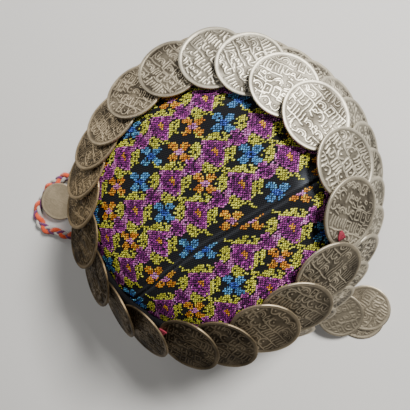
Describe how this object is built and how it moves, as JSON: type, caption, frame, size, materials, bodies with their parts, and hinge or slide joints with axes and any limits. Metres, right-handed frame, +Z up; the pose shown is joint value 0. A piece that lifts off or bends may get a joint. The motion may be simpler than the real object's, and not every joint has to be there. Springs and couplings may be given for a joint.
{
  "type": "coin headdress",
  "caption": "Domed cloth cap covered with cross stitch, ringed by shingled silver coins over a row of smaller coins, with coins hanging at both sides.",
  "frame": {"origin": "middle of the cap's own box, without the side drops, on the surface that its rim stands on", "axes": "+Z up; -Y is the front of the cap and +Y the back, where the ring of large coins opens; +X is the wearer's left"},
  "size_m": [0.2709, 0.1928, 0.0873],
  "materials": {
    "embroidered_cotton": "black cotton covered with coloured counted cross stitch",
    "red_cotton": "dark red woven cotton",
    "silver": "worn and tarnished coin silver with raised relief",
    "wool": "plaited wool in orange, white and purple"
  },
  "bodies": {
    "root": {"cap_crown": "embroidered_cotton", "side_band": "red_cotton", "upper_coin_01": "silver", "upper_coin_02": "silver", "upper_coin_03": "silver", "upper_coin_04": "silver", "upper_coin_05": "silver", "upper_coin_06": "silver", "upper_coin_07": "silver", "upper_coin_08": "silver", "upper_coin_09": "silver", "upper_coin_10": "silver", "upper_coin_11": "silver", "upper_coin_12": "silver", "upper_coin_13": "silver", "upper_coin_14": "silver", "upper_coin_15": "silver", "upper_coin_16": "silver", "upper_coin_17": "silver", "upper_coin_18": "silver", "upper_coin_19": "silver", "upper_coin_20": "silver", "upper_coin_21": "silver", "lower_coin_row": "silver", "left_tie_cord": "wool", "left_drop_coin": "silver", "right_drop_thread": "red_cotton", "right_drop_coin_1": "silver", "right_drop_coin_2": "silver", "right_drop_coin_3": "silver"}
  },
  "joints": []
}
